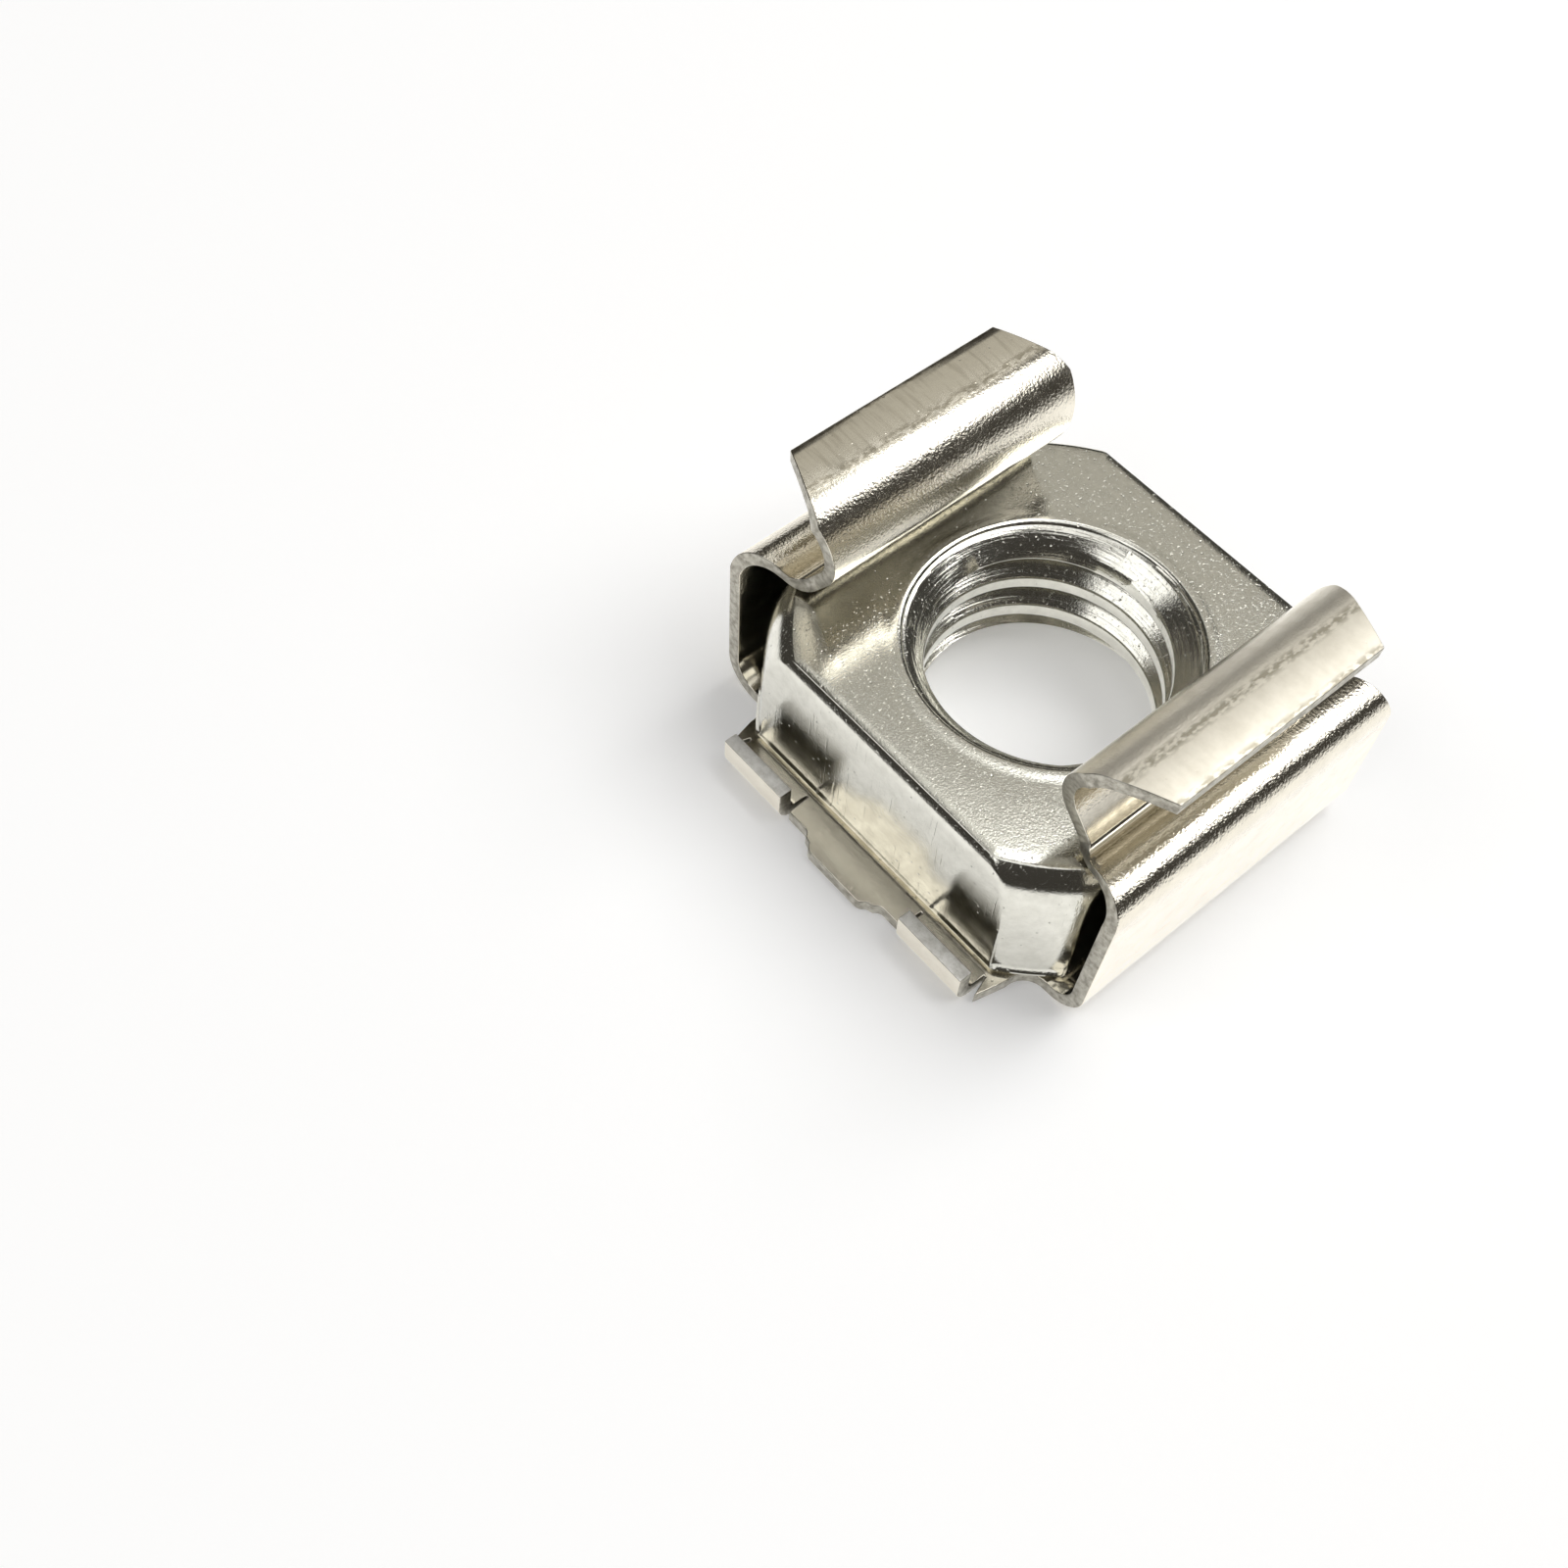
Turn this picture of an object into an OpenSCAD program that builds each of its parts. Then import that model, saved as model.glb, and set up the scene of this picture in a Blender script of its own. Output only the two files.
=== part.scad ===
// Cage nut for square rack-rail holes: a square weld-type nut held loosely in a
// folded spring-steel cage. X runs across the two wings, Y along their bend
// lines, Z up through the thread. The base plate stands on Z = 0.

/* [Sheet] */
// Thickness of the spring-steel sheet
sheet_t = 0.42; // [0.35:0.01:0.5]
// Distance between the outer faces of the two legs
cage_w = 14.7; // [14.6:0.1:15.2]
// Width of the strip at the foot of each leg
leg_w = 10.5; // [9.6:0.1:11]
// Width of the strip at its waist, where it passes the nut
waist_w = 8.2; // [7.6:0.1:8.8]
// Greatest width of each wing
wing_w = 9.1; // [8.4:0.1:9.6]
// Width of each wing at its tip
tip_w = 7.2; // [6.6:0.1:8]

/* [Cage profile] */
// Height of the shoulder's bend point above the base
shoulder_z = 6.35; // [6.2:0.05:6.6]
// Height of the bend point where the strip turns back up above the nut
waist_z = 4.98; // [4.95:0.01:5]
// Distance of that bend point from the middle plane
waist_x = 5.4; // [5.2:0.05:5.5]
// Height of the lip that hooks over the panel
lip_z = 8.52; // [8.5:0.02:9]
// Distance of the tip of the lip from the middle plane
tip_x = 6.9; // [6.8:0.1:7.2]

/* [Base plate] */
// Reach of the middle tongue of the plate, side to side along Y
tongue_span = 15.0; // [14.8:0.05:15.4]
// Distance over the outer faces of the tabs, along Y
tab_span = 14.76; // [14.4:0.02:14.8]
// Height of the tabs above the bottom of the plate
tab_h = 1.3; // [0.9:0.1:2]
// Length of each tab
tab_len = 2.4; // [1.6:0.1:2.4]
// Distance of the middle of each tab from the middle plane
tab_x = 3.6; // [3.5:0.05:3.6]
// Diameter of the clearance hole in the plate
plate_hole_d = 9.4; // [8.6:0.1:9.8]

/* [Nut] */
// Thickness of the nut
nut_t = 4.4; // [4:0.05:4.4]
// Width of the nut across its flats
nut_w = 12.3; // [11.8:0.1:12.6]
// Diameter over the rounded corners of the nut
nut_corner_d = 15.5; // [15:0.1:15.8]
// Diameter of the turned chamfer on the top face
chamfer_d = 14.25; // [13.8:0.05:14.6]
// Diameter of the countersink at each end of the thread
countersink_d = 8.2; // [8.1:0.05:8.8]

/* [Thread] */
// Smallest diameter of the thread, over its crests
bore_d = 6.71; // [6.65:0.01:6.91]
// Largest diameter of the thread, at the bottom of its groove
thread_d = 8; // [7.8:0.05:8.05]
// Rise of the thread in one turn
pitch = 1.25; // [1.2:0.05:1.5]

/* [Hidden] */
$fn = 96;
eps = 0.02;
bend_steps = 8;              // flats that make up one bend
tab_root = tab_span/2 - 1.0; // where the flat plate ends and the tabs' bends begin
notch_y = 7.1;               // bottom of the shallow notches beside the tongue
nut_z = sheet_t;             // the nut lies on the plate
bevel = 0.18;                // small bevel along the nut's top edges
turn_steps = 40;             // straight stretches in one turn of the thread
leg_x = cage_w/2 - sheet_t/2;
bend_clear = leg_x - 1.14;   // where the flat plate ends and the legs' strips begin

// Bend points of the sheet's middle line in the XZ plane: [x, z, bend radius]
side_line = [
    [bend_clear, sheet_t/2, 0],
    [leg_x - 0.17, sheet_t/2, 0.95],      // foot
    [leg_x, shoulder_z, 0.7],             // shoulder
    [waist_x, waist_z, 0.46],             // turn above the nut
    [waist_x - 1.5, waist_z + 2.25, 1.6], // neck, the side that meets the panel's hole
    [tip_x - 1.74, lip_z - 0.05, 0.95],   // crown
    [tip_x, lip_z, 0]                     // tip of the lip
];
// Bend points of a tab's middle line in the YZ plane
tab_line = [
    [tab_root, sheet_t/2, 0],
    [(tab_span - sheet_t)/2, sheet_t/2, 0.4],
    [(tab_span - sheet_t)/2, tab_h, 0]
];

function unit(v) = v / norm(v);
function xy(p) = [p[0], p[1]];
function turned(v) = [v[1], -v[0]];
function heading(v) = atan2(v[1], v[0]);
function wrapped(a) = a - 360*round(a/360);
// The arc that rounds corner b of the line a-b-c with radius b[2]
function bend(a, b, c, n = bend_steps) =
    let (u = unit(xy(a) - xy(b)), w = unit(xy(c) - xy(b)), r = b[2],
         half = acos(u*w)/2, mid = xy(b) + unit(u + w)*r/sin(half),
         from = heading(xy(b) + u*r/tan(half) - mid),
         sweep = wrapped(heading(xy(b) + w*r/tan(half) - mid) - from))
    [for (i = [0:n]) mid + r*[cos(from + sweep*i/n), sin(from + sweep*i/n)]];
// The whole middle line, with its bends
function line_points(v) = concat([xy(v[0])],
    [for (i = [1:len(v) - 2]) each bend(v[i - 1], v[i], v[i + 1])],
    [xy(v[len(v) - 1])]);
// The line shifted sideways by d, each point along its own mitre
function shifted(p, d) = [for (i = [0:len(p) - 1])
    let (m = len(p) - 1,
         before = unit(p[max(i, 1)] - p[max(i, 1) - 1]),
         after = unit(p[min(i, m - 1) + 1] - p[min(i, m - 1)]),
         n = unit(turned(before) + turned(after)))
    p[i] + n*d/(n*turned(after))];
function part_of(p, from, to) = [for (i = [from:to]) p[i]];
function backwards(p) = [for (i = [len(p) - 1:-1:0]) p[i]];

side_points = line_points(side_line);
stride = bend_steps + 1;
above_leg = 1 + stride;              // start of the shoulder's bend
above_waist = 1 + 2*stride;          // start of the turn above the nut

// Section through the sheet between two points of a middle line
module sheet_section(p, from, to)
    polygon(concat(part_of(shifted(p, sheet_t/2), from, to),
                   backwards(part_of(shifted(p, -sheet_t/2), from, to))));

// A stretch of the side strip, as wide as the sheet was before it was trimmed
module side_strip(from, to, width)
    rotate([90, 0, 0])
        linear_extrude(width, center = true)
            sheet_section(side_points, from, to);

// Plan of the flat plate: tongue, notches, tabs' roots and corner reliefs
module plate_plan() {
    quarter = [
        [1, tongue_span/2],
        [1.24, tongue_span/2 - 0.12],
        [1.46, notch_y + 0.08],
        [1.68, notch_y],
        [tab_x - tab_len/2, notch_y],
        [tab_x - tab_len/2, tab_root],
        [tab_x + tab_len/2, tab_root],
        [5.25, 6.25],
        [5.3, leg_w/2 + 0.65],
        [5.38, leg_w/2 + 0.32],
        [5.62, leg_w/2 + 0.08],
        [bend_clear, leg_w/2]
    ];
    half = concat(quarter, [for (p = backwards(quarter)) [p[0], -p[1]]]);
    difference() {
        polygon(concat(half, [for (p = backwards(half)) [-p[0], p[1]]]));
        circle(d = plate_hole_d);
    }
}

// A tab folded up beside the nut
module tab()
    translate([tab_x, 0, 0])
        rotate([90, 0, 90])
            linear_extrude(tab_len, center = true)
                sheet_section(line_points(tab_line), 0, bend_steps + 2);

// Leg: foot bend and upright
module leg()
    side_strip(0, above_leg, leg_w);

// Shoulder: the strip turns in over the nut and narrows to its waist
module shoulder()
    intersection() {
        side_strip(above_leg, above_waist, leg_w);
        linear_extrude(lip_z)
            polygon([[waist_x, -waist_w/2], [leg_x - 0.7, -leg_w/2],
                     [leg_x + 1, -leg_w/2], [leg_x + 1, leg_w/2],
                     [leg_x - 0.7, leg_w/2], [waist_x, waist_w/2],
                     [waist_x - 1, waist_w/2], [waist_x - 1, -waist_w/2]]);
    }

// Wing: neck, crown and lip, wider in the middle than at the waist and tip
module wing()
    intersection() {
        side_strip(above_waist, len(side_points) - 1, wing_w);
        rotate([90, 0, 90])
            linear_extrude(tip_x + 1)
                polygon([[-waist_w/2, waist_z - 1], [waist_w/2, waist_z - 1],
                         [waist_w/2, waist_z + 0.35], [wing_w/2, lip_z - 1.4],
                         [wing_w/2, lip_z + 1], [-wing_w/2, lip_z + 1],
                         [-wing_w/2, lip_z - 1.4], [-waist_w/2, waist_z + 0.35]]);
        linear_extrude(lip_z + 1)
            polygon([[0, -wing_w/2], [waist_x - 0.6, -wing_w/2], [tip_x, -tip_w/2],
                     [tip_x + 1, -tip_w/2], [tip_x + 1, tip_w/2], [tip_x, tip_w/2],
                     [waist_x - 0.6, wing_w/2], [0, wing_w/2]]);
    }

module spring_cage()
    color([0.77, 0.75, 0.68]) union() {
        linear_extrude(sheet_t) plate_plan();
        for (a = [0, 1]) mirror([a, 0, 0]) {
            leg();
            shoulder();
            wing();
            for (b = [0, 1]) mirror([0, b, 0]) tab();
        }
    }

// Square bar with a small bevel round its top and a smaller one round its foot
module nut_flats()
    intersection_for (a = [0, 90])
        rotate([90, 0, a])
            linear_extrude(nut_w + 4, center = true)
                polygon([[-nut_w/2 + bevel, 0], [nut_w/2 - bevel, 0],
                         [nut_w/2, bevel/2], [nut_w/2, nut_t - 2*bevel],
                         [nut_w/2 - bevel, nut_t], [-nut_w/2 + bevel, nut_t],
                         [-nut_w/2, nut_t - 2*bevel], [-nut_w/2, bevel/2]]);

// Turned body: round corners, chamfered top, bore with a countersink each end
module nut_turning() {
    sink = (countersink_d - bore_d)/2;
    rotate_extrude()
        polygon([[bore_d/2, sink*0.8], [countersink_d/2, 0],
                 [nut_corner_d/2, 0], [nut_corner_d/2, nut_t - 0.85],
                 [chamfer_d/2 + 0.3, nut_t - 0.4], [chamfer_d/2, nut_t],
                 [countersink_d/2, nut_t], [bore_d/2, nut_t - sink*0.8]]);
}

// Cutter for the thread's groove: a right-hand helix with 60 degree flanks and a
// nearly sharp root, running out past both faces of the nut
module thread_groove() {
    inner_r = bore_d/2 - 0.1;
    root = pitch/50;
    mouth = root + (thread_d/2 - inner_r)*tan(30);
    outline = [[inner_r, -mouth], [thread_d/2, -root], [thread_d/2, root], [inner_r, mouth]];
    last = ceil((nut_t/pitch + 2)*turn_steps);
    polyhedron(
        points = [for (i = [0:last]) let (a = 360*i/turn_steps)
            for (p = outline) [p[0]*cos(a), p[0]*sin(a), p[1] + pitch*(i/turn_steps - 1)]],
        faces = concat(
            [[3, 2, 1, 0], [for (k = [0:3]) 4*last + k]],
            [for (i = [0:last - 1], k = [0:3]) let (a = 4*i + k, b = 4*i + (k + 1)%4)
                each [[a, b, a + 4], [b, b + 4, a + 4]]]));
}

module square_nut()
    color([0.78, 0.78, 0.74])
        translate([0, 0, nut_z])
            difference() {
                intersection() {
                    nut_flats();
                    nut_turning();
                }
                thread_groove();
            }

spring_cage();
square_nut();
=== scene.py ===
import math

import bmesh
import bpy
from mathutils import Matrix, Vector


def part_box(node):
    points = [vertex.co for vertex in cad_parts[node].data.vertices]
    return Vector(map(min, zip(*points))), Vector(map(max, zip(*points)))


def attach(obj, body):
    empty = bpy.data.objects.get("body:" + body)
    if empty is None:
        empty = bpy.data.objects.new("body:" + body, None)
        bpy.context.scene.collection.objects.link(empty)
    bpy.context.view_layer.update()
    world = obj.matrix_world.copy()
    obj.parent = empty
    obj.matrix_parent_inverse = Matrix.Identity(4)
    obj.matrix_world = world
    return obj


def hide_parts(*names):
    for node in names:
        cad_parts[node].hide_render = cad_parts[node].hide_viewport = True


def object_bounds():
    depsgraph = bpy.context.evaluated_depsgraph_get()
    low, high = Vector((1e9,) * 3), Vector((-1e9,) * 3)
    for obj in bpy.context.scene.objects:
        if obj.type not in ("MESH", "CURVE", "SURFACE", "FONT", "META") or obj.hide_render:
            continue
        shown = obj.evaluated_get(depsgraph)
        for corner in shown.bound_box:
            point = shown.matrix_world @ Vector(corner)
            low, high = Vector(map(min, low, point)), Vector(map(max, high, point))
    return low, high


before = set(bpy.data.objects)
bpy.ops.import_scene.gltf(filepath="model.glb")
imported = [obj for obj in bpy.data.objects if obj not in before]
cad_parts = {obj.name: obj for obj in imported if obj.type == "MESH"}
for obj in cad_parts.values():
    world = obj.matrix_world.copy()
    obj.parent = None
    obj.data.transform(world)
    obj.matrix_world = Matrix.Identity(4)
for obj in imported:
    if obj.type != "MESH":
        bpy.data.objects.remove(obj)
cad_box = [list(corner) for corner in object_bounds()]

# The spring cage is one blank of nickel-plated spring steel, 0.42 mm thick, pierced
# and folded in a progressive die: a flat plate with four short tabs turned up, and
# a leg on each side that folds over the nut and curls out into a wing.
mm = 0.001
sheet = 0.42 * mm
cage_low, cage_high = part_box("spring_cage")
tongue_y = cage_high.y
mid_z = cage_low.z + sheet / 2
strip_start = 6.0 * mm
leg_half = 5.25 * mm
tab_edge = 6.38 * mm
tab_from, tab_to = 2.4 * mm, 4.8 * mm
tab_top = cage_low.z + 1.3 * mm
tab_bend_r = 0.4 * mm
plate_hole_r = 4.7 * mm


def pick_vertices(obj, wanted):
    # In edit mode, selects just the vertices for which wanted(place) is true
    bpy.ops.mesh.select_mode(type="VERT")
    bpy.ops.mesh.select_all(action="DESELECT")
    blank = bmesh.from_edit_mesh(obj.data)
    for vertex in blank.verts:
        vertex.select = bool(wanted(vertex.co))
    blank.select_flush(True)
    bmesh.update_edit_mesh(obj.data)


def near(value, target, slack=2e-6):
    return abs(value - target) < slack


# A quarter of the flat plate, cut to its outline: hole, tongue, notch, tab and relief
def arc_points(centre, radius, start, end, steps):
    return [(centre[0] + radius * math.cos(math.radians(start + (end - start) * i / steps)),
             centre[1] + radius * math.sin(math.radians(start + (end - start) * i / steps)))
            for i in range(steps + 1)]


notch_y = 7.1 * mm
plate_outline = (
    arc_points((0, 0), plate_hole_r, 0, 90, 40)
    + [(0, tongue_y)]
    + arc_points((0.92 * mm, tongue_y - 0.3 * mm), 0.3 * mm, 90, 25, 6)
    + arc_points((1.66 * mm, notch_y + 0.28 * mm), 0.28 * mm, 205, 270, 5)
    + [(tab_from - 0.1 * mm, notch_y), (tab_from - 0.06 * mm, tab_edge), (tab_from, tab_edge),
       (tab_to, tab_edge), (tab_to + 0.06 * mm, tab_edge)]
    + [(5.06 * mm, 7.0 * mm), (5.22 * mm, 6.35 * mm)]
    + arc_points((5.98 * mm, leg_half + 0.68 * mm), 0.68 * mm, 175, 262, 8)
    + [(strip_start, leg_half), (strip_start, 0)])
bpy.ops.object.select_all(action="DESELECT")
bpy.ops.mesh.primitive_circle_add(vertices=len(plate_outline), radius=plate_hole_r,
                                  fill_type="NGON", location=(0, 0, mid_z))
cage = bpy.context.object
cage.name = "cage_sheet"
bpy.ops.object.transform_apply(location=True, rotation=True, scale=True)
for vertex, (x, y) in zip(cage.data.vertices, plate_outline):
    vertex.co = (x, y, mid_z)
bpy.ops.object.mode_set(mode="EDIT")


# Folding: each fold turns the free edge about the bend's own centre in small steps,
# and each flat pushes it on; the half width follows, from the middle plane outwards
class Fold:
    def __init__(self, place, heading, half, across="Y"):
        self.place, self.heading, self.half, self.across = Vector(place), heading, half, across

    def direction(self, degrees=0):
        angle = math.radians(self.heading + degrees)
        if self.across == "Y":
            return Vector((math.cos(angle), 0, math.sin(angle)))
        return Vector((0, math.cos(angle), math.sin(angle)))

    def widen(self, half):
        if self.across == "Y" and abs(half - self.half) > 1e-9:
            bpy.ops.transform.resize(value=(1, half / self.half, 1), center_override=(0, 0, 0))
            self.half = half

    def flat(self, length, half=None, steps=1):
        start = self.half
        for i in range(1, steps + 1):
            bpy.ops.mesh.extrude_region_move(
                TRANSFORM_OT_translate={"value": self.direction() * length / steps})
            if half:
                self.widen(start + (half - start) * i / steps)
        self.place = self.place + self.direction() * length

    def bend(self, degrees, radius, half=None, steps=12):
        side = 90 if degrees > 0 else -90
        centre = self.place + self.direction(side) * radius
        turn = math.radians(degrees) / steps
        start = self.half
        # a turn from the first axis up towards Z is positive here; about +Y it runs
        # the other way, and the operator without a window reverses it once more
        sign = 1 if self.across == "Y" else -1
        for i in range(1, steps + 1):
            bpy.ops.mesh.extrude_region_move()
            bpy.ops.transform.rotate(value=sign * turn, orient_axis=self.across,
                                     center_override=centre)
            if half:
                self.widen(start + (half - start) * i / steps)
        self.heading += degrees
        self.place = centre + self.direction(-side) * radius
        return centre, radius


pick_vertices(cage, lambda p: near(p.y, tab_edge) and tab_from - 1e-6 < p.x < tab_to + 1e-6)
tab = Fold((0, tab_edge, mid_z), 0, 0, across="X")
tab.flat(0.39 * mm)
tab.bend(90, tab_bend_r, steps=8)
tab.flat(tab_top - mid_z - tab_bend_r)

pick_vertices(cage, lambda p: near(p.x, strip_start))
strip = Fold((strip_start, 0, mid_z), 0, leg_half)
strip.flat(0.046 * mm)
strip.bend(88.4, 0.95 * mm, steps=14)                              # foot
strip.flat(3.72 * mm, half=5.2 * mm, steps=4)                      # leg
shoulder = strip.bend(129.8, 0.7 * mm, half=4.62 * mm, steps=20)   # shoulder
strip.flat(0.22 * mm, half=4.52 * mm)                              # slope over the nut
strip.bend(-94.5, 0.46 * mm, half=4.14 * mm, steps=16)             # waist
strip.flat(0.88 * mm, half=4.22 * mm, steps=3)                     # neck
strip.bend(-79.1, 1.6 * mm, half=4.5 * mm, steps=20)               # curl
strip.flat(0.07 * mm, half=4.48 * mm)
crown = strip.bend(-36.5, 0.95 * mm, half=4.25 * mm, steps=12)     # crown
strip.bend(-12, 7 * mm, half=3.6 * mm, steps=10)                   # lip
bpy.ops.object.mode_set(mode="OBJECT")


def finish_with(obj, kind, **settings):
    # Adds one modifier with its settings and applies it
    step = obj.modifiers.new(kind.lower(), kind)
    for name, value in settings.items():
        setattr(step, name, value)
    bpy.context.view_layer.objects.active = obj
    bpy.ops.object.modifier_apply(modifier=step.name)


finish_with(cage, "MIRROR", use_axis=(True, True, False), use_mirror_merge=True,
            merge_threshold=2e-6)
bpy.ops.object.mode_set(mode="EDIT")
bpy.ops.mesh.select_all(action="SELECT")
bpy.ops.mesh.remove_doubles(threshold=1e-6)
bpy.ops.mesh.normals_make_consistent(inside=False)
bpy.ops.object.mode_set(mode="OBJECT")
# Two empty slots, for the plated faces and the sheared edges, whose dark tone is painted
# shade: the rim takes the second
cage.data.materials.append(None)
cage.data.materials.append(None)
finish_with(cage, "SOLIDIFY", thickness=sheet, offset=0, use_even_offset=True,
            use_rim=True, material_offset_rim=1)
finish_with(cage, "BEVEL", width=0.06 * mm, segments=3, limit_method="ANGLE",
            angle_limit=math.radians(50), use_clamp_overlap=True)
bpy.ops.object.mode_set(mode="EDIT")
bpy.ops.mesh.select_all(action="SELECT")
bpy.ops.mesh.normals_make_consistent(inside=False)
bpy.ops.object.mode_set(mode="OBJECT")
bpy.ops.object.select_all(action="DESELECT")
cage.select_set(True)
bpy.context.view_layer.objects.active = cage
bpy.ops.object.shade_smooth_by_angle(angle=math.radians(40))
finish_with(cage, "WEIGHTED_NORMAL", keep_sharp=True, weight=60)


# Nickel plate: its tone and gloss vary in small clouds, and fine grain and pits
# break up its highlights. Returns the material and the last bump before the shader
def plated_metal(name, bright, dull, gloss, cloud, grain, pits):
    metal = bpy.data.materials.new(name)
    metal.use_nodes = True
    nodes, links = metal.node_tree.nodes, metal.node_tree.links
    shader = nodes["Principled BSDF"]
    shader.inputs["Metallic"].default_value = 1
    place = nodes.new("ShaderNodeTexCoord")

    cloud_low, cloud_high = 0.35, 0.62
    clouds = nodes.new("ShaderNodeTexNoise")
    clouds.inputs["Scale"].default_value = 1 / cloud
    clouds.inputs["Detail"].default_value = 6
    clouds.inputs["Roughness"].default_value = 0.65
    links.new(place.outputs["Object"], clouds.inputs["Vector"])
    tone = nodes.new("ShaderNodeValToRGB")
    tone.color_ramp.elements[0].position = cloud_low
    tone.color_ramp.elements[0].color = dull
    tone.color_ramp.elements[1].position = cloud_high
    tone.color_ramp.elements[1].color = bright
    links.new(clouds.outputs["Fac"], tone.inputs["Fac"])
    links.new(tone.outputs["Color"], shader.inputs["Base Color"])
    shine = nodes.new("ShaderNodeMapRange")
    shine.inputs["From Min"].default_value = cloud_low
    shine.inputs["From Max"].default_value = cloud_high
    shine.inputs["To Min"].default_value = gloss * 1.35
    shine.inputs["To Max"].default_value = gloss * 0.85
    links.new(clouds.outputs["Fac"], shine.inputs["Value"])
    links.new(shine.outputs["Result"], shader.inputs["Roughness"])

    grain_size = 0.06 * mm
    fine = nodes.new("ShaderNodeTexNoise")
    fine.inputs["Scale"].default_value = 1 / grain_size
    fine.inputs["Detail"].default_value = 3
    links.new(place.outputs["Object"], fine.inputs["Vector"])
    grain_bump = nodes.new("ShaderNodeBump")
    grain_bump.inputs["Distance"].default_value = grain
    links.new(fine.outputs["Fac"], grain_bump.inputs["Height"])
    pit_spacing = 0.36 * mm
    dots = nodes.new("ShaderNodeTexVoronoi")
    dots.inputs["Scale"].default_value = 1 / pit_spacing
    links.new(place.outputs["Object"], dots.inputs["Vector"])
    pit = nodes.new("ShaderNodeMapRange")
    pit.inputs["From Min"].default_value = 0.04
    pit.inputs["From Max"].default_value = 0.1
    links.new(dots.outputs["Distance"], pit.inputs["Value"])
    pit_bump = nodes.new("ShaderNodeBump")
    pit_bump.inputs["Distance"].default_value = pits
    links.new(pit.outputs["Result"], pit_bump.inputs["Height"])
    links.new(grain_bump.outputs["Normal"], pit_bump.inputs["Normal"])
    links.new(pit_bump.outputs["Normal"], shader.inputs["Normal"])
    return metal, pit_bump


cage_plate, cage_pits = plated_metal(
    "cage_nickel_plate", (0.74, 0.7, 0.605, 1), (0.69, 0.65, 0.555, 1), gloss=0.15,
    cloud=0.5 * mm, grain=0.0008 * mm, pits=0.003 * mm)


# Orange peel: folding roughens the skin of the steel, so each bend gets a
# coarser grain that fades out along the flats beside it
def orange_peel(metal, after, bends, size, height):
    nodes, links = metal.node_tree.nodes, metal.node_tree.links
    place = nodes.new("ShaderNodeTexCoord")
    side = nodes.new("ShaderNodeVectorMath")
    side.operation = "ABSOLUTE"
    links.new(place.outputs["Object"], side.inputs[0])
    level = nodes.new("ShaderNodeVectorMath")
    level.operation = "MULTIPLY"
    level.inputs[1].default_value = (1, 0, 1)
    links.new(side.outputs["Vector"], level.inputs[0])
    strength = None
    for centre, radius in bends:
        away = nodes.new("ShaderNodeVectorMath")
        away.operation = "DISTANCE"
        away.inputs[1].default_value = (abs(centre.x), 0, centre.z)
        links.new(level.outputs["Vector"], away.inputs[0])
        fade = nodes.new("ShaderNodeMapRange")
        fade.interpolation_type = "SMOOTHSTEP"
        fade.inputs["From Min"].default_value = radius + sheet * 0.55
        fade.inputs["From Max"].default_value = radius + sheet * 0.9
        fade.inputs["To Min"].default_value = 1
        fade.inputs["To Max"].default_value = 0
        links.new(away.outputs["Value"], fade.inputs["Value"])
        if strength is None:
            strength = fade.outputs["Result"]
        else:
            larger = nodes.new("ShaderNodeMath")
            larger.operation = "MAXIMUM"
            links.new(strength, larger.inputs[0])
            links.new(fade.outputs["Result"], larger.inputs[1])
            strength = larger.outputs["Value"]
    peel = nodes.new("ShaderNodeTexNoise")
    peel.inputs["Scale"].default_value = 1 / size
    peel.inputs["Detail"].default_value = 3
    links.new(place.outputs["Object"], peel.inputs["Vector"])
    peel_bump = nodes.new("ShaderNodeBump")
    peel_bump.inputs["Distance"].default_value = height
    links.new(peel.outputs["Fac"], peel_bump.inputs["Height"])
    links.new(strength, peel_bump.inputs["Strength"])
    links.new(after.outputs["Normal"], peel_bump.inputs["Normal"])
    links.new(peel_bump.outputs["Normal"], nodes["Principled BSDF"].inputs["Normal"])


inner_crown = crown[0] + Vector((-0.3 * mm, 0, -0.1 * mm)), crown[1]
orange_peel(cage_plate, cage_pits, (inner_crown, shoulder), size=0.08 * mm, height=0.016 * mm)


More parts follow.
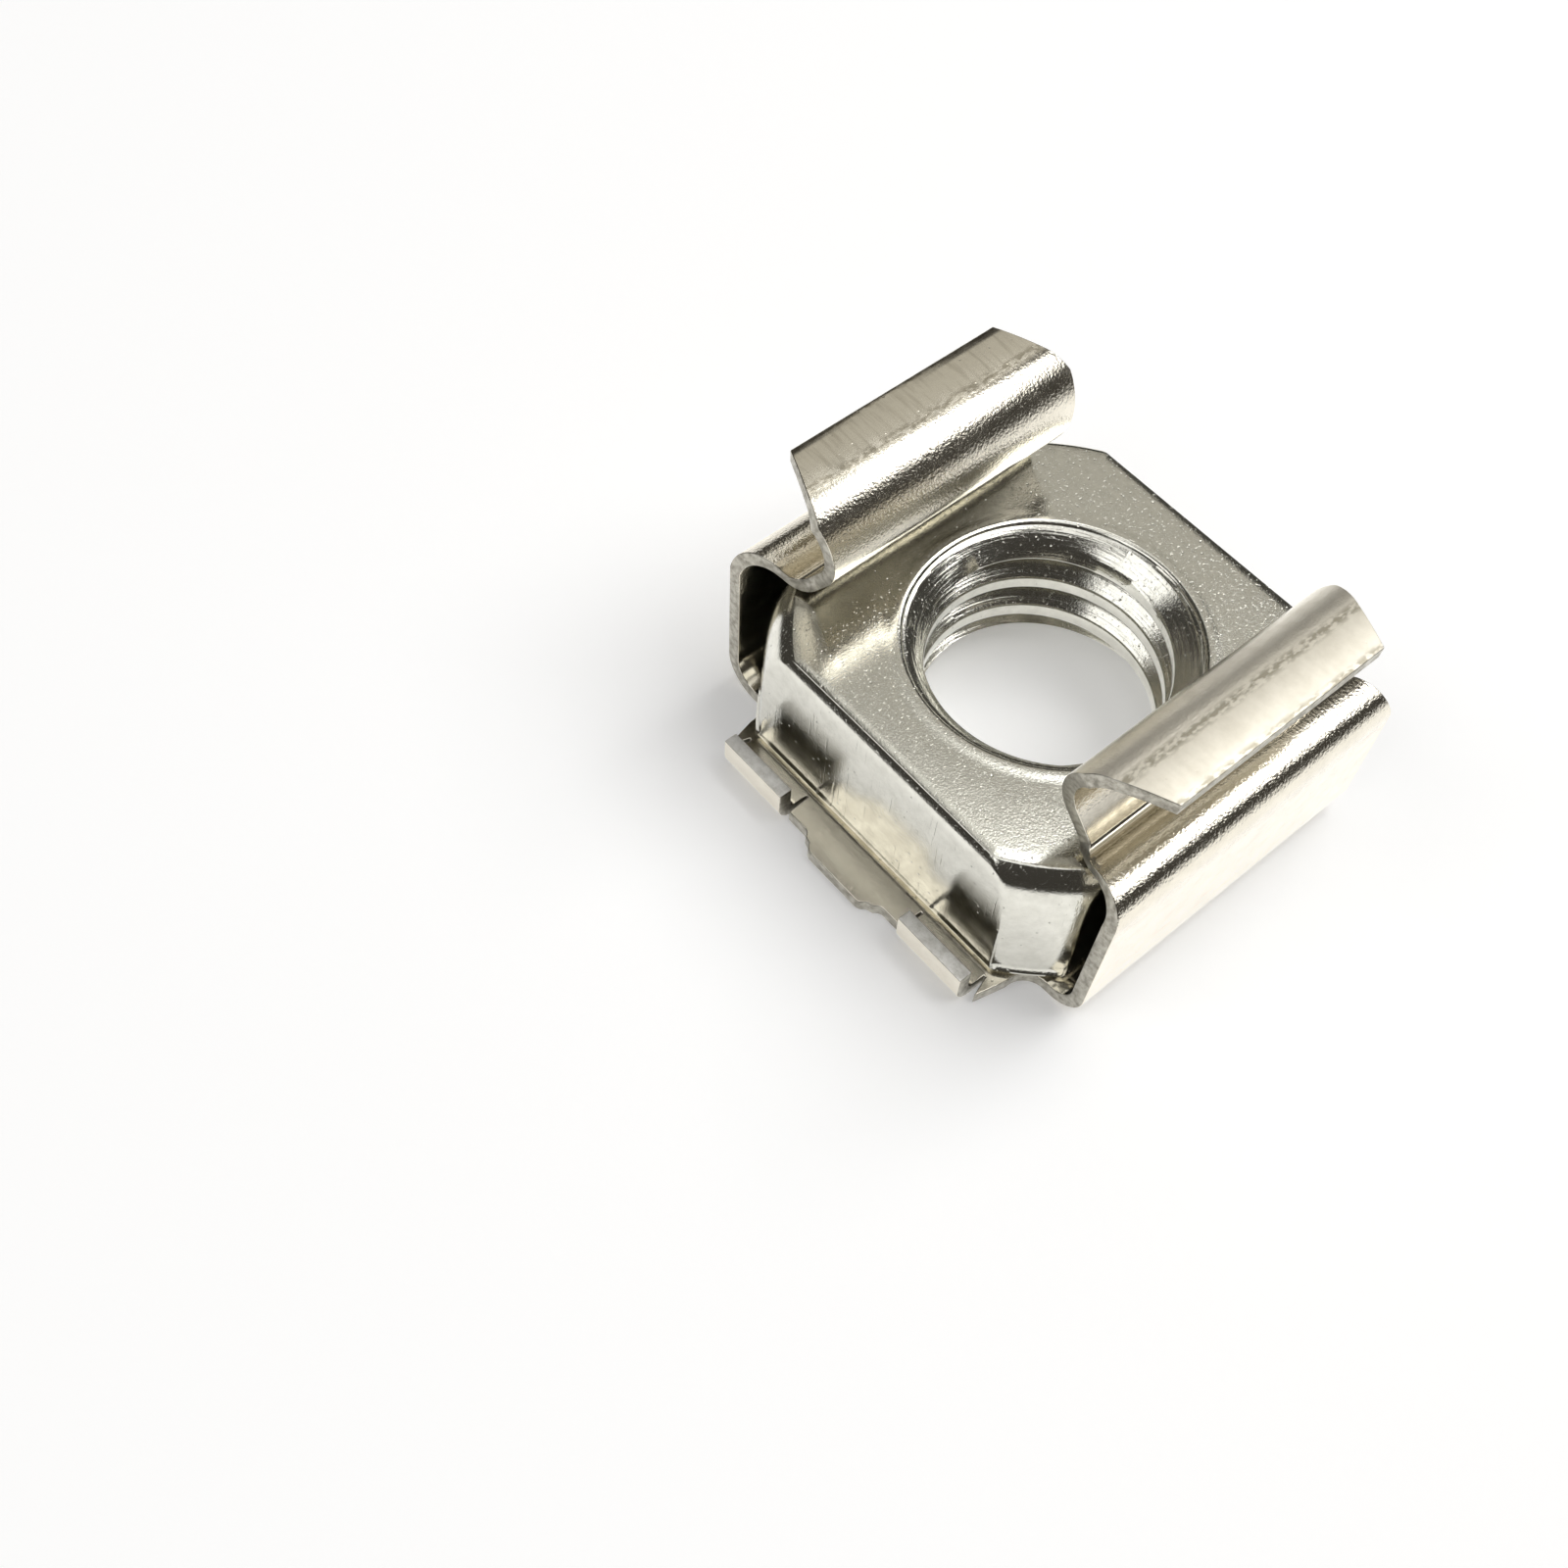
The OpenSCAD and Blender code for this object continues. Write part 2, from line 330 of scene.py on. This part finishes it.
# Scuffs: the dies rub both lips, which leaves a broken dark line part way across
# each and another at its tip; the +X lip is also duller, and the -X lip is streaked
def scuffed_lips(metal):
    nodes, links = metal.node_tree.nodes, metal.node_tree.links
    shader = nodes["Principled BSDF"]
    clean_tone = shader.inputs["Base Color"].links[0].from_socket
    clean_gloss = shader.inputs["Roughness"].links[0].from_socket
    place = nodes.new("ShaderNodeTexCoord")
    axes = nodes.new("ShaderNodeSeparateXYZ")
    links.new(place.outputs["Object"], axes.inputs["Vector"])
    high = nodes.new("ShaderNodeMapRange")
    high.inputs["From Min"].default_value = 7.7 * mm
    high.inputs["From Max"].default_value = 8.3 * mm
    links.new(axes.outputs["Z"], high.inputs["Value"])
    front = nodes.new("ShaderNodeMapRange")
    front.inputs["From Min"].default_value = -1 * mm
    front.inputs["From Max"].default_value = 1 * mm
    front.inputs["To Min"].default_value = 0.1
    links.new(axes.outputs["X"], front.inputs["Value"])
    rubbed = nodes.new("ShaderNodeMath")
    rubbed.operation = "MULTIPLY"
    links.new(high.outputs["Result"], rubbed.inputs[0])
    links.new(front.outputs["Result"], rubbed.inputs[1])

    side = nodes.new("ShaderNodeMath")
    side.operation = "ABSOLUTE"
    links.new(axes.outputs["X"], side.inputs[0])
    across = nodes.new("ShaderNodeMapRange")
    across.inputs["From Min"].default_value = 5 * mm
    across.inputs["From Max"].default_value = 7.2 * mm
    links.new(side.outputs["Value"], across.inputs["Value"])
    lines = nodes.new("ShaderNodeValToRGB")
    stops = lines.color_ramp.elements
    stops[0].position, stops[0].color = 0.18, (0, 0, 0, 1)
    stops[1].position, stops[1].color = 0.25, (1, 1, 1, 1)
    for where, level in ((0.3, 1), (0.38, 0), (0.77, 0), (0.82, 1)):
        stops.new(where).color = (level, level, level, 1)
    links.new(across.outputs["Result"], lines.inputs["Fac"])
    along = nodes.new("ShaderNodeMapping")
    along.inputs["Scale"].default_value = (1 / (0.12 * mm), 1 / (0.3 * mm), 1 / (0.3 * mm))
    links.new(place.outputs["Object"], along.inputs["Vector"])
    breaks = nodes.new("ShaderNodeTexNoise")
    breaks.inputs["Scale"].default_value = 1
    breaks.inputs["Detail"].default_value = 4
    links.new(along.outputs["Vector"], breaks.inputs["Vector"])
    broken = nodes.new("ShaderNodeMapRange")
    broken.inputs["From Min"].default_value = 0.42
    broken.inputs["From Max"].default_value = 0.56
    links.new(breaks.outputs["Fac"], broken.inputs["Value"])
    line_wear = nodes.new("ShaderNodeMath")
    line_wear.operation = "MULTIPLY"
    links.new(lines.outputs["Color"], line_wear.inputs[0])
    links.new(broken.outputs["Result"], line_wear.inputs[1])

    crosswise = nodes.new("ShaderNodeMapping")
    crosswise.inputs["Scale"].default_value = (1 / (1.2 * mm), 1 / (0.14 * mm), 1 / (1.2 * mm))
    links.new(place.outputs["Object"], crosswise.inputs["Vector"])
    streaks = nodes.new("ShaderNodeTexNoise")
    streaks.inputs["Scale"].default_value = 1
    streaks.inputs["Detail"].default_value = 4
    links.new(crosswise.outputs["Vector"], streaks.inputs["Vector"])
    streaked = nodes.new("ShaderNodeMapRange")
    streaked.inputs["From Min"].default_value = 0.48
    streaked.inputs["From Max"].default_value = 0.7
    streaked.inputs["To Max"].default_value = 0.4
    links.new(streaks.outputs["Fac"], streaked.inputs["Value"])
    behind = nodes.new("ShaderNodeMath")
    behind.operation = "SUBTRACT"
    behind.inputs[0].default_value = 1.15
    links.new(front.outputs["Result"], behind.inputs[1])
    streak_wear = nodes.new("ShaderNodeMath")
    streak_wear.operation = "MULTIPLY"
    links.new(streaked.outputs["Result"], streak_wear.inputs[0])
    links.new(behind.outputs["Value"], streak_wear.inputs[1])
    wear = nodes.new("ShaderNodeMath")
    wear.operation = "MAXIMUM"
    links.new(line_wear.outputs["Value"], wear.inputs[0])
    links.new(streak_wear.outputs["Value"], wear.inputs[1])
    lip_wear = nodes.new("ShaderNodeMath")
    lip_wear.operation = "MULTIPLY"
    links.new(wear.outputs["Value"], lip_wear.inputs[0])
    links.new(high.outputs["Result"], lip_wear.inputs[1])

    tone = nodes.new("ShaderNodeMixRGB")
    tone.inputs["Color2"].default_value = (0.3, 0.27, 0.2, 1)
    links.new(clean_tone, tone.inputs["Color1"])
    all_over = nodes.new("ShaderNodeMath")
    all_over.operation = "MULTIPLY"
    all_over.inputs[1].default_value = 0.02
    links.new(rubbed.outputs["Value"], all_over.inputs[0])
    how_much = nodes.new("ShaderNodeMath")
    how_much.operation = "MULTIPLY_ADD"
    how_much.inputs[1].default_value = 0.75
    links.new(lip_wear.outputs["Value"], how_much.inputs[0])
    links.new(all_over.outputs["Value"], how_much.inputs[2])
    links.new(how_much.outputs["Value"], tone.inputs["Fac"])
    links.new(tone.outputs["Color"], shader.inputs["Base Color"])
    dulled = nodes.new("ShaderNodeMath")
    dulled.operation = "MULTIPLY_ADD"
    dulled.inputs[1].default_value = 0.33
    links.new(rubbed.outputs["Value"], dulled.inputs[0])
    links.new(clean_gloss, dulled.inputs[2])
    links.new(dulled.outputs["Value"], shader.inputs["Roughness"])


scuffed_lips(cage_plate)
# The sheared edges: a rougher finish, which is real, and a dark tone, which is painted shade
shaded_sheared_edge = plated_metal(
    "cage_sheared_edge_painted_shade", (0.47, 0.45, 0.39, 1), (0.26, 0.245, 0.205, 1), gloss=0.4,
    cloud=0.2 * mm, grain=0.004 * mm, pits=0.004 * mm)[0]
# Painted highlight: a pale copy of the edge finish for the tabs' ends, picked because they
# face up to the lamps
painted_tab_highlight = plated_metal(
    "cage_tab_painted_highlight", (0.9, 0.89, 0.86, 1), (0.78, 0.77, 0.73, 1), gloss=0.62,
    cloud=0.25 * mm, grain=0.003 * mm, pits=0.003 * mm)[0]
# Painted shade: a near-black copy of the plate for the tabs' inner faces, which sit in shade
# against the nut
painted_tab_shade = plated_metal(
    "cage_tab_painted_shade", (0.2, 0.19, 0.15, 1), (0.1, 0.09, 0.07, 1), gloss=0.5,
    cloud=0.3 * mm, grain=0.004 * mm, pits=0.004 * mm)[0]
on_faces, on_shaded_edges, on_painted_tab_highlight, on_painted_tab_shade = range(4)
cage.data.materials[on_faces] = cage_plate
cage.data.materials[on_shaded_edges] = shaded_sheared_edge
cage.data.materials.append(painted_tab_highlight)
cage.data.materials.append(painted_tab_shade)

# The tabs' ends, where they face up, carry a painted highlight, and their inner faces are
# painted shade
tabs_below = 2 * mm
tab_inner_near, tab_inner_far = 6.4 * mm, 7.2 * mm
for face in cage.data.polygons:
    out_from_middle = abs(face.center.y)
    faces_up = face.normal.z > 0.9
    faces_in = face.normal.y * math.copysign(1, face.center.y) < -0.35
    if face.material_index == on_shaded_edges and faces_up and face.center.z < tabs_below:
        face.material_index = on_painted_tab_highlight
    elif (face.material_index == on_faces and faces_in
          and tab_inner_near < out_from_middle < tab_inner_far):
        face.material_index = on_painted_tab_shade
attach(cage, "root")
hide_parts("spring_cage")


# The nut is a square steel nut turned, drilled, countersunk and tapped M8 x 1.25,
# then bright plated; it lies loose on the cage's plate, chamfered side up.
nut_low, nut_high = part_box("square_nut")
nut_half = nut_high.x
pitch = 1.25 * mm
minor_r, major_r = 3.355 * mm, 3.99 * mm
rim_r = 4.1 * mm
corner_r = 7.75 * mm
around = 480

# Turned skin: radius, half width after the flats are milled, and depth below the top
skin_rows = [
    (rim_r - 0.05 * mm, nut_half, 0.08 * mm),
    (rim_r - 0.025 * mm, nut_half, 0.045 * mm),
    (rim_r + 0.01 * mm, nut_half, 0.015 * mm),
    (rim_r + 0.06 * mm, nut_half, -0.005 * mm),
    (rim_r + 0.12 * mm, nut_half, -0.008 * mm),
    (rim_r + 0.3 * mm, nut_half, -0.004 * mm),
    (rim_r + 0.42 * mm, nut_half, 0.005 * mm),
    (rim_r + 0.55 * mm, nut_half, 0),
    (6.6 * mm, 5.6 * mm, 0),
    (6.97 * mm, 5.88 * mm, 0.003 * mm),
    (7.03 * mm, 5.9 * mm, 0.011 * mm),
    (7.07 * mm, 5.915 * mm, 0.026 * mm),
    (7.17 * mm, 5.975 * mm, 0.1 * mm),
    (7.27 * mm, 6.035 * mm, 0.19 * mm),
    (7.32 * mm, 6.06 * mm, 0.24 * mm),
    (7.42 * mm, 6.08 * mm, 0.36 * mm),
    (7.52 * mm, 6.09 * mm, 0.52 * mm),
    (7.62 * mm, 6.1 * mm, 0.8 * mm),
    (7.7 * mm, 6.12 * mm, 1.3 * mm),
    (corner_r, nut_half, 2.4 * mm),
    (corner_r, nut_half, 4.02 * mm),
    (corner_r + 0.03 * mm, nut_half + 0.01 * mm, 4.12 * mm),
    (corner_r + 0.1 * mm, nut_half + 0.04 * mm, 4.2 * mm),
    (corner_r + 0.1 * mm, nut_half + 0.04 * mm, 4.27 * mm),
    (corner_r - 0.02 * mm, nut_half - 0.06 * mm, 4.345 * mm),
    (corner_r - 0.25 * mm, nut_half - 0.25 * mm, 4.4 * mm),
    (rim_r + 0.6 * mm, nut_half, 4.4 * mm),
    (rim_r + 0.03 * mm, nut_half, 4.4 * mm),
    (rim_r - 0.05 * mm, nut_half, 4.355 * mm),
]
bpy.ops.object.select_all(action="DESELECT")
bpy.ops.mesh.primitive_circle_add(vertices=around, radius=skin_rows[0][0],
                                  location=(0, 0, nut_high.z - skin_rows[0][2]))
nut = bpy.context.object
nut.name = "nut_body"
bpy.ops.object.transform_apply(location=True, rotation=True, scale=True)
bpy.ops.object.mode_set(mode="EDIT")
bpy.ops.mesh.select_all(action="SELECT")
for before, row in zip(skin_rows, skin_rows[1:]):
    grow = row[0] / before[0]
    bpy.ops.mesh.extrude_region_move(
        TRANSFORM_OT_translate={"value": (0, 0, before[2] - row[2])})
    bpy.ops.transform.resize(value=(grow, grow, 1), center_override=(0, 0, 0))
bpy.ops.object.mode_set(mode="OBJECT")
for row, (radius, half, depth) in enumerate(skin_rows):
    for vertex in nut.data.vertices[row * around:(row + 1) * around]:
        vertex.co.x = max(-half, min(half, vertex.co.x))
        vertex.co.y = max(-half, min(half, vertex.co.y))

# Thread: one pitch of its outline, wound up through the hole, then cut off at both
# faces and opened out by the countersinks
thread_outline = [
    (minor_r + 0.05 * mm, -0.54), (minor_r + 0.015 * mm, -0.51), (minor_r, -0.46),
    (minor_r, -0.22), (minor_r + 0.015 * mm, -0.17), (minor_r + 0.05 * mm, -0.14),
    (major_r - 0.05 * mm, 0.112), (major_r - 0.01 * mm, 0.14), (major_r, 0.16),
    (major_r - 0.01 * mm, 0.18), (major_r - 0.05 * mm, 0.208), (minor_r + 0.05 * mm, 0.46)]
run_in = 1.96
bpy.ops.object.select_all(action="DESELECT")
bpy.ops.mesh.primitive_circle_add(vertices=len(thread_outline), radius=minor_r)
thread = bpy.context.object
bpy.ops.object.mode_set(mode="EDIT")
outline_mesh = bmesh.from_edit_mesh(thread.data)
outline_mesh.verts.ensure_lookup_table()
for vertex, (radius, turn) in zip(outline_mesh.verts, thread_outline):
    vertex.co = (radius, 0, nut_low.z + (turn - run_in) * pitch)
seam = [edge for edge in outline_mesh.edges
        if {corner.index for corner in edge.verts} == {0, len(thread_outline) - 1}]
bmesh.ops.delete(outline_mesh, geom=seam, context="EDGES")
bmesh.update_edit_mesh(thread.data)
bpy.ops.object.mode_set(mode="OBJECT")
finish_with(thread, "SCREW", axis="Z", screw_offset=pitch, angle=2 * math.pi, steps=160,
            render_steps=160, iterations=6, use_merge_vertices=False,
            use_smooth_shade=True)
bpy.ops.object.mode_set(mode="EDIT")
bpy.ops.mesh.select_all(action="SELECT")
bpy.ops.mesh.remove_doubles(threshold=1e-6)
cut = 0.1 * mm
for height, outer in ((nut_high.z - cut, True), (nut_low.z + cut, False)):
    bpy.ops.mesh.select_all(action="SELECT")
    bpy.ops.mesh.bisect(plane_co=(0, 0, height), plane_no=(0, 0, 1),
                        clear_outer=outer, clear_inner=not outer, threshold=1e-8)
bpy.ops.object.mode_set(mode="OBJECT")
cone_depth = 0.596 * mm
for vertex in thread.data.vertices:
    x, y, z = vertex.co
    depth = min(nut_high.z - z, z - nut_low.z)
    cone = rim_r - (rim_r - minor_r) * depth / cone_depth
    radius = math.hypot(x, y)
    if radius < cone:
        vertex.co.x, vertex.co.y = x * cone / radius, y * cone / radius

# Join the two and close the narrow gap at each rim
bpy.ops.object.select_all(action="DESELECT")
thread.select_set(True)
nut.select_set(True)
bpy.context.view_layer.objects.active = nut
bpy.ops.object.join()
bpy.ops.object.mode_set(mode="EDIT")
for low, high in ((nut_high.z - 2 * cut, nut_high.z), (nut_low.z, nut_low.z + 2 * cut)):
    bpy.ops.mesh.select_mode(type="EDGE")
    bpy.ops.mesh.select_all(action="DESELECT")
    shell = bmesh.from_edit_mesh(nut.data)
    for edge in shell.edges:
        edge.select = edge.is_boundary and all(low < end.co.z < high for end in edge.verts)
    bmesh.update_edit_mesh(nut.data)
    bpy.ops.mesh.bridge_edge_loops()
bpy.ops.mesh.select_all(action="SELECT")
bpy.ops.mesh.normals_make_consistent(inside=False)
bpy.ops.object.mode_set(mode="OBJECT")
bpy.ops.object.shade_smooth_by_angle(angle=math.radians(38))
finish_with(nut, "WEIGHTED_NORMAL", keep_sharp=True, weight=60)
nut_plate, nut_pits = plated_metal(
    "nut_nickel_plate", (0.66, 0.65, 0.59, 1), (0.59, 0.58, 0.52, 1), gloss=0.14,
    cloud=0.35 * mm, grain=0.0036 * mm, pits=0.012 * mm)
metal_nodes, metal_links = nut_plate.node_tree.nodes, nut_plate.node_tree.links
place = metal_nodes.new("ShaderNodeTexCoord")
upright = metal_nodes.new("ShaderNodeMapping")
mark_width, mark_length = 0.09 * mm, 2.2 * mm
upright.inputs["Scale"].default_value = (1 / mark_width, 1 / mark_width, 1 / mark_length)
metal_links.new(place.outputs["Object"], upright.inputs["Vector"])
draw_marks = metal_nodes.new("ShaderNodeTexNoise")
draw_marks.inputs["Scale"].default_value = 1
draw_marks.inputs["Detail"].default_value = 3
metal_links.new(upright.outputs["Vector"], draw_marks.inputs["Vector"])
sparse = metal_nodes.new("ShaderNodeMapRange")
sparse.inputs["From Min"].default_value = 0.63
sparse.inputs["From Max"].default_value = 0.73
metal_links.new(draw_marks.outputs["Fac"], sparse.inputs["Value"])
mark_bump = metal_nodes.new("ShaderNodeBump")
mark_bump.invert = True
mark_bump.inputs["Distance"].default_value = 0.004 * mm
metal_links.new(sparse.outputs["Result"], mark_bump.inputs["Height"])
metal_links.new(nut_pits.outputs["Normal"], mark_bump.inputs["Normal"])

# Tool marks: fine lines that follow the tap and the countersink round the hole
axes = metal_nodes.new("ShaderNodeSeparateXYZ")
metal_links.new(place.outputs["Object"], axes.inputs["Vector"])
round_hole = metal_nodes.new("ShaderNodeMath")
round_hole.operation = "ARCTAN2"
metal_links.new(axes.outputs["Y"], round_hole.inputs[0])
metal_links.new(axes.outputs["X"], round_hole.inputs[1])
follow = metal_nodes.new("ShaderNodeMath")
follow.operation = "MULTIPLY_ADD"
follow.inputs[1].default_value = -pitch / (2 * math.pi)
metal_links.new(round_hole.outputs["Value"], follow.inputs[0])
metal_links.new(axes.outputs["Z"], follow.inputs[2])
flat_place = metal_nodes.new("ShaderNodeVectorMath")
flat_place.operation = "MULTIPLY"
flat_place.inputs[1].default_value = (1, 1, 0)
metal_links.new(place.outputs["Object"], flat_place.inputs[0])
from_axis = metal_nodes.new("ShaderNodeVectorMath")
from_axis.operation = "LENGTH"
metal_links.new(flat_place.outputs["Vector"], from_axis.inputs[0])
ring_place = metal_nodes.new("ShaderNodeCombineXYZ")
metal_links.new(from_axis.outputs["Value"], ring_place.inputs["X"])
metal_links.new(follow.outputs["Value"], ring_place.inputs["Z"])
rings = metal_nodes.new("ShaderNodeTexNoise")
rings.inputs["Scale"].default_value = 1 / mark_width
rings.inputs["Detail"].default_value = 3
metal_links.new(ring_place.outputs["Vector"], rings.inputs["Vector"])
in_hole = metal_nodes.new("ShaderNodeMapRange")
in_hole.inputs["From Min"].default_value = rim_r - 0.04 * mm
in_hole.inputs["From Max"].default_value = rim_r
in_hole.inputs["To Min"].default_value = 1
in_hole.inputs["To Max"].default_value = 0
metal_links.new(from_axis.outputs["Value"], in_hole.inputs["Value"])
tool_bump = metal_nodes.new("ShaderNodeBump")
tool_bump.inputs["Distance"].default_value = 0.012 * mm
metal_links.new(rings.outputs["Fac"], tool_bump.inputs["Height"])
metal_links.new(in_hole.outputs["Result"], tool_bump.inputs["Strength"])
metal_links.new(mark_bump.outputs["Normal"], tool_bump.inputs["Normal"])
metal_links.new(tool_bump.outputs["Normal"], metal_nodes["Principled BSDF"].inputs["Normal"])
nut.data.materials.clear()
nut.data.materials.append(nut_plate)
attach(nut, "root")
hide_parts("square_nut")


# Table: a plain pale sheet of paper under the part, which keeps its soft shadow. It
# glows a little to the camera, glows to the metal in a painted pool of light near the part,
# and darkens further off in painted shade.
bpy.ops.object.select_all(action="DESELECT")
bpy.ops.mesh.primitive_plane_add(size=1.6, location=(0, 0, cad_box[0][2]))
table = bpy.context.object
table.name = "table"
glow_to_camera, glow_to_metal = 0.2, 0.5
paper = bpy.data.materials.new("pale_paper")
paper.use_nodes = True
paper_nodes, paper_links = paper.node_tree.nodes, paper.node_tree.links
paper_shader = paper_nodes["Principled BSDF"]
paper_shader.inputs["Roughness"].default_value = 0.9
paper_shader.inputs["Emission Color"].default_value = (1, 1, 1, 1)
ray = paper_nodes.new("ShaderNodeLightPath")
to_camera = paper_nodes.new("ShaderNodeMath")
to_camera.operation = "MULTIPLY"
to_camera.inputs[1].default_value = glow_to_camera
paper_links.new(ray.outputs["Is Camera Ray"], to_camera.inputs[0])
place = paper_nodes.new("ShaderNodeTexCoord")
reach = paper_nodes.new("ShaderNodeVectorMath")
reach.operation = "LENGTH"
paper_links.new(place.outputs["Object"], reach.inputs[0])
# Painted pool of light: the glow that the metal sees fades out from 40 to 90 mm
painted_light_pool = paper_nodes.new("ShaderNodeMapRange")
painted_light_pool.inputs["From Min"].default_value = 40 * mm
painted_light_pool.inputs["From Max"].default_value = 90 * mm
painted_light_pool.inputs["To Min"].default_value = glow_to_metal
painted_light_pool.inputs["To Max"].default_value = 0
paper_links.new(reach.outputs["Value"], painted_light_pool.inputs["Value"])
# Painted shade: the paper's colour darkens from 50 to 260 mm out, standing in for the lamps'
# falloff
painted_falloff_reach = paper_nodes.new("ShaderNodeMapRange")
painted_falloff_reach.inputs["From Min"].default_value = 50 * mm
painted_falloff_reach.inputs["From Max"].default_value = 260 * mm
paper_links.new(reach.outputs["Value"], painted_falloff_reach.inputs["Value"])
painted_falloff_tone = paper_nodes.new("ShaderNodeMixRGB")
painted_falloff_tone.inputs["Color1"].default_value = (0.9, 0.9, 0.9, 1)
painted_falloff_tone.inputs["Color2"].default_value = (0.34, 0.34, 0.335, 1)
paper_links.new(painted_falloff_reach.outputs["Result"], painted_falloff_tone.inputs["Fac"])
paper_links.new(painted_falloff_tone.outputs["Color"], paper_shader.inputs["Base Color"])
to_metal = paper_nodes.new("ShaderNodeMath")
to_metal.operation = "MULTIPLY_ADD"
paper_links.new(painted_light_pool.outputs["Result"], to_metal.inputs[1])
paper_links.new(ray.outputs["Is Glossy Ray"], to_metal.inputs[0])
paper_links.new(to_camera.outputs["Value"], to_metal.inputs[2])
paper_links.new(to_metal.outputs["Value"], paper_shader.inputs["Emission Strength"])
table.data.materials.append(paper)

# Light: soft boxes round the table in a dim room, so that the metal shows both
# bright panels and dark gaps; each glow is measured against white paper.
def soft_box(name, turn, rise, size, glow):
    distance = 0.6
    turn, rise = math.radians(turn), math.radians(rise)
    level = math.cos(rise)
    aim = Vector((level * math.cos(turn), level * math.sin(turn), math.sin(rise)))
    bpy.ops.object.light_add(type="AREA", location=aim * distance,
                             rotation=aim.to_track_quat("Z", "Y").to_euler())
    box = bpy.context.object
    box.name = name
    box.data.shape = "RECTANGLE"
    box.data.size, box.data.size_y = size
    box.data.energy = glow * math.pi * size[0] * size[1]
    return box


soft_box("window_behind", turn=67, rise=57, size=(0.5, 0.42), glow=4.2)
soft_box("window_left", turn=-104, rise=51, size=(0.46, 0.27), glow=1.8)
pale_wall = soft_box("pale_wall", turn=131, rise=46, size=(0.28, 0.2), glow=0.52)
pale_wall.data.color = (1, 0.965, 0.86)
pale_wall_top = soft_box("pale_wall_top", turn=136, rise=66, size=(0.2, 0.18), glow=0.9)
pale_wall_top.data.color = (1, 0.995, 0.95)
soft_box("low_wall", turn=160, rise=6, size=(0.42, 0.2), glow=1)
soft_box("ceiling", turn=-60, rise=86, size=(0.3, 0.3), glow=1.3)
room = bpy.data.worlds.new("dim_room")
room.use_nodes = True
room.node_tree.nodes["Background"].inputs["Color"].default_value = (0.06, 0.056, 0.05, 1)
bpy.context.scene.world = room

# Camera: close above the near corner and looking down on the part, rolled a few
# degrees to one side.
bpy.ops.object.camera_add(location=(17.62 * mm, -26.46 * mm, 45.38 * mm),
                          rotation=[math.radians(a) for a in (32.46, -2.23, 49.72)])
camera = bpy.context.object
camera.data.lens = 43.8
camera.data.sensor_width = 36
camera.data.clip_start = 0.001
bpy.context.scene.camera = camera
bpy.context.scene.view_settings.view_transform = "Standard"
